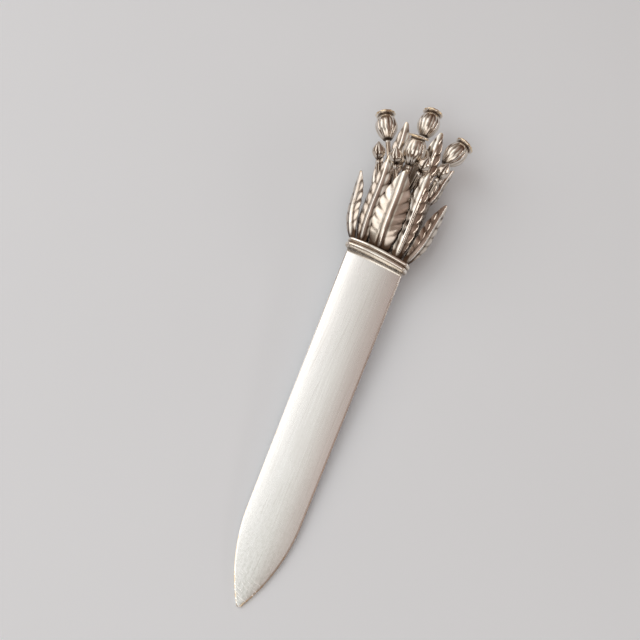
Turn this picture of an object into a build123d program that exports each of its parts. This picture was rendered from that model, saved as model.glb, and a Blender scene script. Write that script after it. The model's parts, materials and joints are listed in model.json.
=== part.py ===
from build123d import *
import os
from math import asin, atan2, cos, hypot, pi, radians, sin, tan

# A silver paper knife lying on a table, in millimetres. It rests on the tip of its blade and on two buds at
# the back of its handle. X runs from the tip towards the handle, Y to the left and Z up, and the origin is
# on the table under the middle of the knife. The handle is a cast core dressed with a ring of leaves, and
# with more leaves, seed heads and buds on stems, all soldered to the core's flat top.

# Blade: flat at the back, arched across at the front, thinner towards the point
blade_length = 142.0
blade_width = 24.0
blade_thickness = 1.8
edge_thickness = 0.7
point_length = 35.0
point_width = 21.0
point_thickness = 1.0
point_radius = 1.2

# Tang, and the cement that holds it in the core
tang_length = 24.0
tang_width = 9.0
tang_thickness = 1.0
tang_fit = 0.05
cement_gap = 0.3

# Collar: two reeds with a groove between them, set on a slant across the blade
collar_slant = radians(8.0)
collar_overhang = 1.6
collar_depth = 9.4
collar_end_radius = 3.2
reed_height = 1.6
reed_steps = 4
groove_height = 0.6
groove_depth = 0.7

# Core: an oval block inside the ring of leaves, which flares above a straight foot
core_height = 26.0
core_foot = 2.0
core_flare = 2.35
core_flare_height = 8.0
core_end_radius = 3.2
ledge = 0.3
seat_gap = 0.95

# Leaves: two wings with a keel between them, which bulge outwards and turn out again at the tip. Those on
# the collar rise a little above the core's top.
leaf_widest = 0.45
leaf_sink = 0.6
leaf_thickness = 1.4
leaf_edge = 0.5
leaf_hollow = 1.2
leaf_tip_width = 1.2
leaf_lean = radians(11)
front_leaf_rise = 5.0
front_leaf_width = 12.6
front_leaf_root = 7.4
front_leaf_reach = 9.0
front_leaf_bulge = 6.0
flank_leaf_rise = 10.0
flank_leaf_width = 8.0
flank_leaf_root = 3.4
flank_leaf_reach = 6.5
flank_leaf_bulge = 3.6
flank_turn = radians(39)
side_leaf_rise = 4.0
side_leaf_width = 7.6
side_leaf_root = 2.4
side_leaf_reach = 4.8
side_leaf_bulge = 4.2
side_turn = radians(73)
side_facing = radians(46)
back_leaf_width = 7.6
back_leaf_root = 5.5
back_leaf_reach = 3.4
back_leaf_bulge = 3.4
back_turn = radians(136)
upper_leaf_length = 28.0
upper_leaf_width = 8.0
upper_leaf_root = 2.0
upper_leaf_reach = 6.0
upper_leaf_bulge = 2.8
upper_facing = radians(12)
upper_leaf_left = 6.15
upper_leaf_seat = 1.9
wing_leaf_length = 19.0
wing_leaf_width = 7.5
wing_leaf_reach = 4.5
wing_leaf_bulge = 2.5
wing_leaf_left = 10.6
wing_leaf_seat = 1.6
wing_facing = radians(60)

# Seed heads and buds on straight stems
stem_radius = 1.15
head_sides = 12
head_steps = 6
head_radius = 4.6
head_height = 12.5
head_foot_radius = 1.8
crown_radius = 4.2
crown_height = 1.6
crown_neck_radius = 2.8
bud_radius = 2.7
bud_height = 7.0
bud_end = radians(171)
top_stem_length = 28.0
left_stem_length = 24.0
right_stem_length = 21.0
tip_clearance = 5.0
head_seat = 3.6
bud_seat = 9.3
bud_depth_seat = 0.6
depth_seat = 2.3
side_lean = radians(24)
bud_lean = radians(20)
bud_front_lean = radians(34)
front_lean = radians(28)
front_bud_seat = 2.4
front_bud_lean = radians(40)
front_bud_drop = 2.0
front_bud_clearance = 0.5

# Nodding buds at the back, which are the handle's feet
foot_radius = 3.0
foot_left = 5.5
hook_radius = 3.1
hook_rise = 1.5
hook_drop = 1.2
hook_steps = 6
hook_sides = 8
foot_clearance = 2.0
foot_steps = 8

collar_height = 2 * reed_height + groove_height
collar_half_width = blade_width / 2 + collar_overhang
collar_half_depth = collar_depth / 2
blade_middle = blade_thickness / 2
base_along = blade_length + collar_height / cos(collar_slant)
core_along = base_along + core_height
core_inset = groove_depth + ledge + leaf_thickness + seat_gap
ring_inset = groove_depth + ledge + leaf_thickness / 2
foot_neck = asin(stem_radius / foot_radius)
foot_along = core_along + hook_rise - hook_drop - foot_radius * cos(foot_neck)
foot_front = blade_middle - depth_seat - 2 * hook_radius
front_leaf_length = core_height + front_leaf_rise
flank_leaf_length = core_height + flank_leaf_rise
side_leaf_length = core_height + side_leaf_rise
back_leaf_length = foot_along - foot_radius - foot_clearance - base_along
tilt = atan2(foot_radius - foot_front, foot_along)
top_along = core_along + top_stem_length + head_height
overall_reach = top_along * cos(tilt) + (crown_radius - blade_middle) * sin(tilt)

knife = Plane(
    origin=(-overall_reach / 2, 0, 0),
    x_dir=(cos(tilt), 0, sin(tilt)),
    z_dir=(-sin(tilt), 0, cos(tilt)),
)


def spot(along, left, front):
    """A point of the knife: along it from the tip, to the left, and in front of the blade's back."""
    return knife.from_local_coords(Vector(along, left, front))


def heading(along, left, front):
    """A direction of length one in the same three terms."""
    return (knife.x_dir * along + knife.y_dir * left + knife.z_dir * front).normalized()


def across(along):
    """The plane square to the knife at a distance from the tip, with X to the left and Y to the front."""
    return Plane(origin=spot(along, 0, blade_middle), x_dir=knife.y_dir, z_dir=knife.x_dir)


collar_base = Plane(
    origin=spot(blade_length, 0, blade_middle),
    x_dir=heading(sin(collar_slant), cos(collar_slant), 0),
    z_dir=heading(cos(collar_slant), -sin(collar_slant), 0),
)
collar_top = collar_base.offset(collar_height)
core_top = across(core_along)


def finish(piece, name):
    """Labels a piece and writes it to its own file."""
    piece.label = name
    export_step(piece, f"parts/{name}.step")


def oval(half_width, half_depth, end_radius):
    """Draws an oval of two broad arcs, front and back, that run smoothly into two round ends."""
    end_middle = half_width - end_radius
    broad_radius = (end_middle**2 + half_depth**2 - end_radius**2) / (2 * (half_depth - end_radius))
    broad_middle = broad_radius - half_depth
    share = broad_radius / hypot(end_middle, broad_middle)
    x = end_middle * share
    y = broad_middle * share - broad_middle
    with BuildLine() as outline:
        ThreePointArc((-x, y), (0, half_depth), (x, y))
        ThreePointArc((x, y), (half_width, 0), (x, -y))
        ThreePointArc((x, -y), (0, -half_depth), (-x, -y))
        ThreePointArc((-x, -y), (-half_width, 0), (-x, y))
    make_face(outline.edges())


os.makedirs("parts", exist_ok=True)

# The blade is an arched bar cut to the outline, with a thinner, narrower tang behind its slanted shoulders
shoulder_rise = blade_width / 2 * tan(collar_slant)
tang_lift = (blade_thickness - tang_thickness) / 2

with BuildPart() as blade:
    for along, middle in ((0, point_thickness), (blade_length + shoulder_rise, blade_thickness)):
        with BuildSketch(Plane(origin=spot(along, 0, 0), x_dir=knife.y_dir, z_dir=knife.x_dir)):
            with BuildLine():
                crest = ThreePointArc(
                    (-blade_width / 2, edge_thickness), (0, middle), (blade_width / 2, edge_thickness)
                )
                Polyline(crest @ 1, (blade_width / 2, 0), (-blade_width / 2, 0), crest @ 0)
            make_face()
    loft(ruled=True)
    with BuildSketch(knife):
        with BuildLine():
            left_edge = Line((blade_length + shoulder_rise, blade_width / 2), (point_length, point_width / 2))
            TangentArc(left_edge @ 1, (0, 0), tangent=left_edge % 1)
            right_end = (blade_length - shoulder_rise, -blade_width / 2)
            right_edge = Line(right_end, (point_length, -point_width / 2))
            TangentArc(right_edge @ 1, (0, 0), tangent=right_edge % 1)
            Line(left_edge @ 0, right_edge @ 0)
        make_face()
        fillet(vertices().sort_by(Axis.X)[0], point_radius)
    extrude(amount=blade_thickness, mode=Mode.INTERSECT)
    with BuildSketch(knife.offset(tang_lift)):
        with Locations((blade_length, 0)):
            Rectangle(tang_length, tang_width, align=(Align.MIN, Align.CENTER))
    extrude(amount=tang_thickness)
finish(blade.part, "blade")

# The collar: a band with two rounded reeds, lofted through parallel ovals, and a slot for the tang
slot_width = tang_width + 2 * tang_fit
slot_thickness = tang_thickness + 2 * tang_fit

with BuildPart() as collar:
    for lift in (0, reed_height + groove_height):
        for step in range(reed_steps + 1):
            turn = pi * step / reed_steps
            dip = groove_depth * (1 - sin(turn))
            with BuildSketch(collar_base.offset(lift + reed_height * (1 - cos(turn)) / 2)):
                oval(collar_half_width - dip, collar_half_depth - dip, collar_end_radius - dip)
    loft(ruled=True)
    with BuildSketch(across(blade_length - collar_height)):
        Rectangle(slot_width, slot_thickness)
    extrude(amount=3 * collar_height, mode=Mode.SUBTRACT)
finish(collar.part, "collar")

# The core stands on the collar and has a socket for the tang, which is filled with cement
tang_end = across(blade_length + tang_length)
socket_end = across(blade_length + tang_length + cement_gap)
socket_width = tang_width + 2 * cement_gap
socket_thickness = tang_thickness + 2 * cement_gap

flare_start = base_along + core_foot
flare_end = flare_start + core_flare_height
core_half_width = collar_half_width - core_inset + core_flare
core_half_depth = collar_half_depth - core_inset + core_flare

with BuildPart() as handle_core:
    for along in (blade_length, flare_start, flare_end, core_along):
        dip = core_flare if along <= flare_start else 0
        with BuildSketch(across(along)):
            oval(core_half_width - dip, core_half_depth - dip, core_end_radius - dip)
    loft(ruled=True)
    split(bisect_by=collar_top, keep=Keep.TOP)
    with BuildSketch(socket_end):
        Rectangle(socket_width, socket_thickness)
    extrude(amount=-tang_length, mode=Mode.SUBTRACT)
finish(handle_core.part, "handle_core")

with BuildPart() as tang_cement:
    with BuildSketch(socket_end):
        Rectangle(socket_width, socket_thickness)
    extrude(amount=-tang_length)
    split(bisect_by=collar_top, keep=Keep.TOP)
    with BuildSketch(tang_end):
        Rectangle(tang_width, tang_thickness)
    extrude(amount=-tang_length, mode=Mode.SUBTRACT)
finish(tang_cement.part, "tang_cement")


def ring_seat(turn):
    """The point of the collar where a leaf stands, at a turn from the front to the left, and its way out."""
    ring_width = collar_half_width - ring_inset
    ring_depth = collar_half_depth - ring_inset
    left = ring_width * sin(turn)
    seat = spot(base_along + left * tan(collar_slant), left, blade_middle + ring_depth * cos(turn))
    return seat, heading(0, sin(turn) / ring_width, cos(turn) / ring_depth)


def leaf(name, seat, out, lean, footing, length, width, root_width, reach, bulge):
    """Builds a leaf from its side profile, an S of two arcs, drawn out to a wing on each side of a keel.

    The leaf's outline then trims both wings, and the plane of its footing cuts the root. A lean tips the
    whole leaf sideways."""
    axis = knife.x_dir * cos(lean) + out.cross(knife.x_dir) * sin(lean)
    wing = out.cross(axis)
    widest = length * leaf_widest
    half = width / 2
    with BuildPart() as piece:
        for sign in (1, -1):
            with BuildSketch(Plane(origin=seat, x_dir=axis, z_dir=axis.cross(out))):
                with BuildLine():
                    for face in (1, -1):
                        belly = (widest, bulge + face * leaf_thickness / 2)
                        TangentArc(belly, (-leaf_sink, face * leaf_thickness / 2), tangent=(-1, 0))
                        TangentArc(belly, (length, reach + face * leaf_edge / 2), tangent=(1, 0))
                    Line((-leaf_sink, leaf_thickness / 2), (-leaf_sink, -leaf_thickness / 2))
                    Line((length, reach + leaf_edge / 2), (length, reach - leaf_edge / 2))
                make_face()
            extrude(amount=hypot(half, leaf_hollow), dir=wing * (sign * half) - out * leaf_hollow)
        with BuildSketch(Plane(origin=seat, x_dir=axis, z_dir=out)):
            with BuildLine():
                for sign in (1, -1):
                    TangentArc((widest, sign * half), (-leaf_sink, sign * root_width / 2), tangent=(-1, 0))
                    TangentArc((widest, sign * half), (length, sign * leaf_tip_width / 2), tangent=(1, 0))
                Line((-leaf_sink, root_width / 2), (-leaf_sink, -root_width / 2))
                Line((length, leaf_tip_width / 2), (length, -leaf_tip_width / 2))
            make_face()
        extrude(amount=length, both=True, mode=Mode.INTERSECT)
        split(bisect_by=footing, keep=Keep.TOP)
    finish(piece.part, name)


front_shape = (front_leaf_length, front_leaf_width, front_leaf_root, front_leaf_reach, front_leaf_bulge)
flank_shape = (flank_leaf_length, flank_leaf_width, flank_leaf_root, flank_leaf_reach, flank_leaf_bulge)
side_shape = (side_leaf_length, side_leaf_width, side_leaf_root, side_leaf_reach, side_leaf_bulge)
back_shape = (back_leaf_length, back_leaf_width, back_leaf_root, back_leaf_reach, back_leaf_bulge)
upper_shape = (upper_leaf_length, upper_leaf_width, upper_leaf_root, upper_leaf_reach, upper_leaf_bulge)
wing_shape = (wing_leaf_length, wing_leaf_width, upper_leaf_root, wing_leaf_reach, wing_leaf_bulge)

leaf("front_leaf", *ring_seat(0), 0, collar_top, *front_shape)
leaf("back_leaf", *ring_seat(pi), 0, collar_top, *back_shape)
for side, sign in (("left", 1), ("right", -1)):
    leaf(f"{side}_flank_leaf", *ring_seat(sign * flank_turn), 0, collar_top, *flank_shape)
    leaf(f"{side}_back_leaf", *ring_seat(sign * back_turn), 0, collar_top, *back_shape)
    seat = ring_seat(sign * side_turn)[0]
    out = heading(0, sign * sin(side_facing), cos(side_facing))
    leaf(f"{side}_leaf", seat, out, sign * leaf_lean, collar_top, *side_shape)
    seat = spot(core_along, sign * wing_leaf_left, blade_middle - wing_leaf_seat)
    out = heading(0, sign * sin(wing_facing), cos(wing_facing))
    leaf(f"{side}_wing_leaf", seat, out, sign * leaf_lean, core_top, *wing_shape)
    seat = spot(core_along, sign * upper_leaf_left, blade_middle + upper_leaf_seat)
    out = heading(0, sign * sin(upper_facing), cos(upper_facing))
    leaf(f"{side}_upper_leaf", seat, out, 0, core_top, *upper_shape)
seat = spot(core_along, 0, blade_middle - upper_leaf_seat)
leaf("back_upper_leaf", seat, heading(0, 0, -1), 0, core_top, *upper_shape)


def flat_sided(origin, direction, levels):
    """Adds a body of flat sides: its outline pulled through, then crossed with copies turned on its axis."""
    start = Plane(origin=origin, x_dir=direction.cross(knife.y_dir), z_dir=direction)
    outline = [(radius, height) for height, radius in levels]
    outline += [(-radius, height) for radius, height in reversed(outline)]
    for count in range(head_sides // 2):
        turn = 2 * pi * count / head_sides
        side = start.x_dir * cos(turn) + start.y_dir * sin(turn)
        with BuildSketch(Plane(origin=origin, x_dir=side, z_dir=side.cross(direction))) as profile:
            with BuildLine() as line:
                Polyline(*outline, close=True)
            make_face(line.edges())
        mode = Mode.INTERSECT if count else Mode.ADD
        extrude(profile.sketch, amount=2 * head_radius, both=True, mode=mode)


def stalk(name, left, front, direction, length):
    """Builds a straight stem from a place on the core's top, and gives the point where it ends."""
    end = spot(core_along, left, blade_middle + front) + direction * length
    with BuildPart() as stem:
        with BuildSketch(Plane(origin=end, z_dir=direction)):
            Circle(stem_radius)
        extrude(amount=-length - 2 * stem_radius)
        split(bisect_by=core_top, keep=Keep.TOP)
    finish(stem.part, f"{name}_stem")
    return end


def seed_head(name, left, front, lean_left, lean_front, length):
    """Builds a ribbed seed head with a flat crown on its stem."""
    direction = heading(1, tan(lean_left), tan(lean_front))
    base = stalk(f"{name}_head", left, front, direction, length)
    first = asin(head_foot_radius / head_radius)
    last = pi - asin(crown_neck_radius / head_radius)
    neck_height = head_height - crown_height
    shares = [step / head_steps for step in range(head_steps + 1)]
    levels = [(neck_height * share, head_radius * sin(first + (last - first) * share)) for share in shares]
    levels += [
        (neck_height + crown_height / 3, crown_radius),
        (neck_height + crown_height * 2 / 3, crown_radius),
        (head_height, crown_radius / 3),
    ]
    with BuildPart() as head:
        flat_sided(base, direction, levels)
    finish(head.part, f"{name}_head")


def bud(name, left, front, lean_left, lean_front, rise):
    """Builds a pointed bud on a stem that ends at a height above the core's top."""
    direction = heading(1, tan(lean_left), tan(lean_front))
    length = rise / direction.dot(knife.x_dir)
    base = stalk(f"{name}_bud", left, front, direction, length)
    first = asin(stem_radius / bud_radius)
    shares = [step / head_steps for step in range(head_steps + 1)]
    levels = [(bud_height * share, bud_radius * sin(first + (bud_end - first) * share)) for share in shares]
    with BuildPart() as piece:
        flat_sided(base, direction, levels)
    finish(piece.part, f"{name}_bud")


front_rise = front_leaf_rise + tip_clearance
front_bud_rise = front_rise - front_bud_drop
front_bud_spread = atan2(head_radius + front_bud_clearance - front_bud_seat, front_bud_rise)
side_rise = side_leaf_rise + tip_clearance
seed_head("top", 0, 0, 0, 0, top_stem_length)
seed_head("left", head_seat, 0, side_lean, 0, left_stem_length)
seed_head("right", -head_seat, 0, -side_lean, 0, right_stem_length)
seed_head("front", 0, depth_seat, 0, front_lean, front_rise / cos(front_lean))
for side, sign in (("left", 1), ("right", -1)):
    bud(side, sign * bud_seat, bud_depth_seat, sign * bud_lean, bud_front_lean, side_rise)
    spread = sign * front_bud_spread
    bud(f"{side}_front", sign * front_bud_seat, depth_seat, spread, front_bud_lean, front_bud_rise)


def foot(name, left):
    """Builds a round bud that hangs at the back from a hooked stem; its widest ring touches the table."""
    out = heading(0, 0, -1)
    seat = spot(core_along, left, blade_middle - depth_seat)
    turns = [pi * step / hook_steps for step in range(hook_steps + 1)]
    with BuildPart() as stem:
        with BuildLine(Plane(origin=seat, x_dir=out, z_dir=out.cross(knife.x_dir))):
            Polyline(
                (0, 0),
                *[(hook_radius * (1 - cos(turn)), hook_rise + hook_radius * sin(turn)) for turn in turns],
                (2 * hook_radius, hook_rise - hook_drop),
            )
        with BuildSketch(Plane(origin=seat, x_dir=out, z_dir=knife.x_dir)):
            RegularPolygon(stem_radius, hook_sides)
        sweep(transition=Transition.RIGHT)
    finish(stem.part, f"{name}_foot_stem")
    base = seat + out * (2 * hook_radius) + knife.x_dir * (hook_rise - hook_drop)
    angles = [foot_neck, *[pi * step / foot_steps for step in range(2, foot_steps)]]
    levels = [(foot_radius * (cos(foot_neck) - cos(angle)), foot_radius * sin(angle)) for angle in angles]
    with BuildPart() as piece:
        flat_sided(base, -knife.x_dir, levels)
    finish(piece.part, f"{name}_foot_bud")


for side, sign in (("left", 1), ("right", -1)):
    foot(side, sign * foot_left)
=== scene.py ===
# %% [markdown]
# # A silver paper knife with a foliage handle
# The CAD model gives the knife's sizes and places: a plain pointed blade, a slanting reeded collar and a
# handle of leaves, seed heads and buds. This lesson dresses it, piece by piece. The pieces could be carved
# by hand in Blender's sculpt mode, but here each is a formula of two numbers, filled in as whole arrays, so
# that it keeps to the CAD model's sizes and can be made again with others.

# %% Load the frame
import json
import math

import bpy
import numpy as np
from mathutils import Matrix, Vector


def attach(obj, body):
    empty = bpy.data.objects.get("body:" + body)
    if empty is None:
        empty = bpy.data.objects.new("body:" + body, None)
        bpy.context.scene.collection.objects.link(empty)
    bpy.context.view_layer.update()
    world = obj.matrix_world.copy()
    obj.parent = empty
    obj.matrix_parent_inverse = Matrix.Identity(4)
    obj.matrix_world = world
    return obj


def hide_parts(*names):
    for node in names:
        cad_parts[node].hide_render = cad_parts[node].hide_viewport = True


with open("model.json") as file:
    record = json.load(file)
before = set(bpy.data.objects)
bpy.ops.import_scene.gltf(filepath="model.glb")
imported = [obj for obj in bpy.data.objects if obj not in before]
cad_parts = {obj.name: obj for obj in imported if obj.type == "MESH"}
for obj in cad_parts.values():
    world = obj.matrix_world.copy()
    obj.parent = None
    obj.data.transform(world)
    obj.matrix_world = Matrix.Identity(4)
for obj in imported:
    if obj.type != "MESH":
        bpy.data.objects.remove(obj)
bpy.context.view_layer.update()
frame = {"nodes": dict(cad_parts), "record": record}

# %% [markdown]
# The knife lies on the tip of its blade and on two buds behind the handle, so its own axes lean a little
# against the table's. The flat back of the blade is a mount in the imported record, and its middle and
# direction give those axes. Each piece is written in the knife's own terms (millimetres along it from the
# tip, to the left, and in front of the flat back), which keeps the formulas short, and one function turns
# them into the frame.

# %% The knife's own axes
MM = 0.001
BLADE = 142.0

flat_back = next(mount for mount in frame["record"]["mounts"] if mount["name"] == "blade_back")
FRONT = -np.array(flat_back["axis"])
LEFT = np.array([0.0, 1.0, 0.0])
ALONG = np.cross(LEFT, FRONT)
TIP = np.array(flat_back["pos_m"]) - ALONG * BLADE / 2 * MM


def spot(along, left, front):
    """The point that lies so many millimetres along, left and front of the tip, for numbers or arrays."""
    along, left, front = np.broadcast_arrays(along, left, front)
    steps = along[..., None] * ALONG + left[..., None] * LEFT + front[..., None] * FRONT
    return TIP + MM * steps


print("tip at", np.round(TIP, 4), "and a lean of", round(math.degrees(math.asin(ALONG[2])), 2), "degrees")

# %% [markdown]
# The camera looks down on the blade's front from beyond the tip and a little from the right, and is turned
# so that the knife runs from the lower left to the upper right. Its place, the point it looks at and its
# turn were found from where the collar and the tip lie in the picture. A constraint could aim it, but three
# directions in a matrix say the same with nothing left to solve.

# %% Camera
CAMERA_SPOT = (-18.24, -55.74, 397.5)
CAMERA_AIM = (111.27, 11.28, 0.9)
CAMERA_TURN = math.radians(20.96)
FOCAL_PIXELS = 1100
PICTURE_PIXELS = 640

camera_data = bpy.data.cameras.new("camera")
camera_data.lens = camera_data.sensor_width * FOCAL_PIXELS / PICTURE_PIXELS
camera = bpy.data.objects.new("camera", camera_data)
bpy.context.scene.collection.objects.link(camera)
bpy.context.scene.camera = camera
bpy.context.scene.view_settings.view_transform = "Standard"
eye = Vector(spot(*CAMERA_SPOT))
back = (eye - Vector(spot(*CAMERA_AIM))).normalized()
upward = Vector(ALONG * math.cos(CAMERA_TURN) + LEFT * math.sin(CAMERA_TURN))
right = upward.cross(back).normalized()
directions = Matrix((right, back.cross(right), back)).transposed()
camera.matrix_world = Matrix.Translation(eye) @ directions.to_4x4()
print("camera height in mm:", round(eye.z / MM), "lens:", round(camera_data.lens, 1))

# %% [markdown]
# Every material below is a small network of shader nodes. Such networks are often drawn by hand in the
# shader editor. Here one helper adds a node and fills its sockets with values or with other nodes' outputs,
# so that a network reads from top to bottom like a recipe.


# %% Node helpers
def node(tree, kind, inputs=None, **settings):
    """Adds a shader node; inputs maps a socket's name or number to a value or to another node's output."""
    made = tree.nodes.new(kind)
    for key, value in settings.items():
        setattr(made, key, value)
    for key, value in (inputs or {}).items():
        if isinstance(value, bpy.types.NodeSocket):
            tree.links.new(value, made.inputs[key])
        else:
            made.inputs[key].default_value = value
    return made


def blank_tree(owner):
    """Gives a material or world an empty node tree."""
    owner.use_nodes = True
    owner.node_tree.nodes.clear()
    return owner.node_tree


def between(tree, value, low, high, change="LINEAR"):
    """Nought up to one value and one from another on, with a straight or a soft change between."""
    bounds = {"Value": value, 1: low, 2: high}
    return node(tree, "ShaderNodeMapRange", bounds, interpolation_type=change).outputs[0]


def blend(tree, factor, first, second):
    """A colour between two, each a value or another node's output."""
    return node(tree, "ShaderNodeMix", {"Factor": factor, 6: first, 7: second}, data_type="RGBA").outputs[2]


print("node helpers: node, blank_tree, between, blend")

# %% [markdown]
# Silver shows little colour of its own: it shows the room. So the room is part of the look. By height it is
# a dark warm wall and then a bright ceiling. From side to side it goes from white on the knife's left to a
# dim, rosy grey on its right, as in a room with one large window. Along the knife it is brightest over the
# middle of the blade. A photograph of a room could do this too, but three rows of colours need no file and
# each can be tuned by itself.

# %% Room colours
BY_HEIGHT = (
    (0.18, (0.28, 0.19, 0.13)),
    (0.42, (0.36, 0.26, 0.2)),
    (0.66, (0.84, 0.81, 0.78)),
    (0.82, (1.0, 1.0, 1.0)),
)
BY_SIDE = (
    (0.3, (0.46, 0.36, 0.32)),
    (0.44, (0.57, 0.48, 0.45)),
    (0.5, (0.72, 0.7, 0.67)),
    (0.57, (0.97, 0.975, 0.95)),
    (0.64, (1.0, 1.0, 1.0)),
    (0.76, (0.8, 0.79, 0.78)),
)
BY_LENGTH = (
    (0.48, (0.62, 0.62, 0.6)),
    (0.555, (1.0, 1.0, 1.0)),
    (0.655, (0.6, 0.57, 0.55)),
)
print("room colours:", len(BY_HEIGHT), "by height,", len(BY_SIDE), "by side,", len(BY_LENGTH), "by length")

# %% [markdown]
# The room is the product of the three rows of colours, each looked up by one part of the direction in which
# a ray leaves. Close to the table's height a pale backdrop takes over, so that no dark wall stands behind
# the floor when the knife is seen from low down.

# %% Room
BACKDROP = (0.44, 0.425, 0.415, 1)
BACKDROP_TOP = 0.18
BACKDROP_FULL = 0.07
ROOM_STRENGTH = 1.08


def colour_ramp(tree, value, stops):
    """A colour that follows a value through a row of stops, each a position and a colour."""
    made = node(tree, "ShaderNodeValToRGB", {0: value})
    elements = made.color_ramp.elements
    for element, (position, colour) in zip(elements, (stops[0], stops[-1])):
        element.position = position
        element.color = (*colour, 1)
    for position, colour in stops[1:-1]:
        elements.new(position).color = (*colour, 1)
    return made.outputs["Color"]


world = bpy.data.worlds.new("room")
bpy.context.scene.world = world
tree = blank_tree(world)
way = node(tree, "ShaderNodeSeparateXYZ", {0: node(tree, "ShaderNodeTexCoord").outputs["Generated"]}).outputs
shade = colour_ramp(tree, way["Z"], BY_HEIGHT)
for axis, stops in (("Y", BY_SIDE), ("X", BY_LENGTH)):
    both = {0: shade, 1: colour_ramp(tree, between(tree, way[axis], -1.0, 1.0), stops)}
    shade = node(tree, "ShaderNodeVectorMath", both, operation="MULTIPLY").outputs[0]
shade = blend(tree, between(tree, way["Z"], BACKDROP_TOP, BACKDROP_FULL), shade, BACKDROP)
room = node(tree, "ShaderNodeBackground", {"Color": shade, "Strength": ROOM_STRENGTH})
node(tree, "ShaderNodeOutputWorld", {"Surface": room.outputs[0]})
print("room:", len(tree.nodes), "nodes")

# %% [markdown]
# One large window stands to the knife's upper left and makes the white lights on the casting and the soft
# shadow to the right. A wide, weaker panel beyond the tip brightens what faces it. A long, low strip on the
# right hardly lights anything, but it shows as a bright line in edges that face that way. Small lamps would
# do the same with less, but polished metal would show them as hard white dots.

# %% Window, panel and strip
LIT_SPOT = (120, 0, 0)


def soft_box(name, way, distance, size, power, colour):
    """Sets an area light, so wide and so high in metres, at a distance from the knife and facing it."""
    lamp = bpy.data.lights.new(name, "AREA")
    lamp.shape = "RECTANGLE"
    lamp.size, lamp.size_y = size
    lamp.energy = power
    lamp.color = colour
    holder = bpy.data.objects.new(name, lamp)
    bpy.context.scene.collection.objects.link(holder)
    toward = Vector(way).normalized()
    holder.location = Vector(spot(*LIT_SPOT)) + toward * distance
    holder.rotation_euler = toward.to_track_quat("Z", "Y").to_euler()
    print(name, "at", [round(x, 2) for x in holder.location])


soft_box("window", (0.1, 0.76, 0.64), 0.95, (1.1, 0.85), 3.0, (1.0, 0.985, 0.96))
soft_box("panel", (-0.66, -0.08, 0.75), 1.1, (1.1, 0.7), 2.4, (1.0, 0.99, 0.97))
soft_box("strip", (0.2, -0.92, 0.32), 1.0, (0.9, 0.1), 0.9, (1.0, 0.95, 0.9))

# %% [markdown]
# The floor is one pale matt sheet. A studio would bend it up into a backdrop, but a flat sheet that runs
# far past every view needs only four corners. A faint cloud in its colour keeps it from looking like paper.

# %% Floor
FLOOR_REACH = 12.0
FLOOR_PALE = (0.87, 0.915, 0.97, 1)
FLOOR_PALEST = (0.9, 0.945, 1.0, 1)

floor_mesh = bpy.data.meshes.new("floor")
corners = [(FLOOR_REACH * x, FLOOR_REACH * y, 0) for x, y in ((-1, -1), (1, -1), (1, 1), (-1, 1))]
floor_mesh.from_pydata(corners, [], [(0, 1, 2, 3)])
floor = bpy.data.objects.new("floor", floor_mesh)
bpy.context.scene.collection.objects.link(floor)
floor_material = bpy.data.materials.new("pale_floor")
tree = blank_tree(floor_material)
place = node(tree, "ShaderNodeTexCoord").outputs["Object"]
cloud = node(tree, "ShaderNodeTexNoise", {"Vector": place, "Scale": 9.0, "Detail": 3.0}).outputs[0]
matt = {"Base Color": blend(tree, cloud, FLOOR_PALE, FLOOR_PALEST), "Roughness": 0.9}
surface = node(tree, "ShaderNodeBsdfPrincipled", matt)
node(tree, "ShaderNodeOutputMaterial", {"Surface": surface.outputs[0]})
floor_mesh.materials.append(floor_material)
print("floor:", 2 * FLOOR_REACH, "m square")

# %% [markdown]
# All metal here shares three effects, and each is a node group, because a group is built once and placed in
# every material that needs it. Underneath, all of them are one kind of noise in the object's own
# coordinates, stretched into streaks or left in blotches, and cut off softly at two values.


# %% Group helpers
def new_group(name, inputs, outputs):
    """Starts a node group with float inputs and outputs, and gives its tree and the two end nodes."""
    group = bpy.data.node_groups.new(name, "ShaderNodeTree")
    for label, way in [(label, "INPUT") for label in inputs] + [(label, "OUTPUT") for label in outputs]:
        group.interface.new_socket(name=label, in_out=way, socket_type="NodeSocketFloat")
    return group, node(group, "NodeGroupInput"), node(group, "NodeGroupOutput")


def streaks(tree, scale, detail, turn=0.0):
    """Noise in the object's own coordinates, turned on the blade and stretched by three counts per metre."""
    place = node(tree, "ShaderNodeTexCoord").outputs["Object"]
    turned_place = node(tree, "ShaderNodeMapping", {"Vector": place, "Rotation": (0, 0, turn)})
    stretched = node(tree, "ShaderNodeMapping", {"Vector": turned_place.outputs[0], "Scale": scale})
    noise = {"Vector": stretched.outputs[0], "Scale": 1.0, "Detail": detail}
    return node(tree, "ShaderNodeTexNoise", noise).outputs[0]


def smooth_step(tree, value, low, high):
    """Nought below one value and one above another, with a soft change between."""
    return between(tree, value, low, high, "SMOOTHSTEP")


def scaled(tree, value, share, rest=0.0):
    """A value times a share, plus a rest, each of which may be a value or another node's output."""
    return node(tree, "ShaderNodeMath", {0: value, 1: share, 2: rest}, operation="MULTIPLY_ADD").outputs[0]


print("group helpers: new_group, streaks, smooth_step, scaled")

# %% [markdown]
# Hairlines are the marks of polishing and use on the blade. Brush lines run along it, a few deeper cuts run
# almost along it, scuffs cross it, and an even grain lies between them. They could be drawn as an image,
# but noise has no edges and no seams, and it stays sharp at any size.

# %% Hairlines
LINES = {
    "Brush": ((40, 2600, 90), 4.0, 0.0),
    "Cuts": ((38, 1500, 90), 2.0, 0.05),
    "Scuffs": ((1500, 190, 90), 3.0, 0.35),
    "Grain": ((760, 1000, 90), 5.0, 0.0),
}
LIMITS = {"Cuts": (0.62, 0.7), "Scuffs": (0.54, 0.64), "Grain": (0.4, 0.66)}

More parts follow.
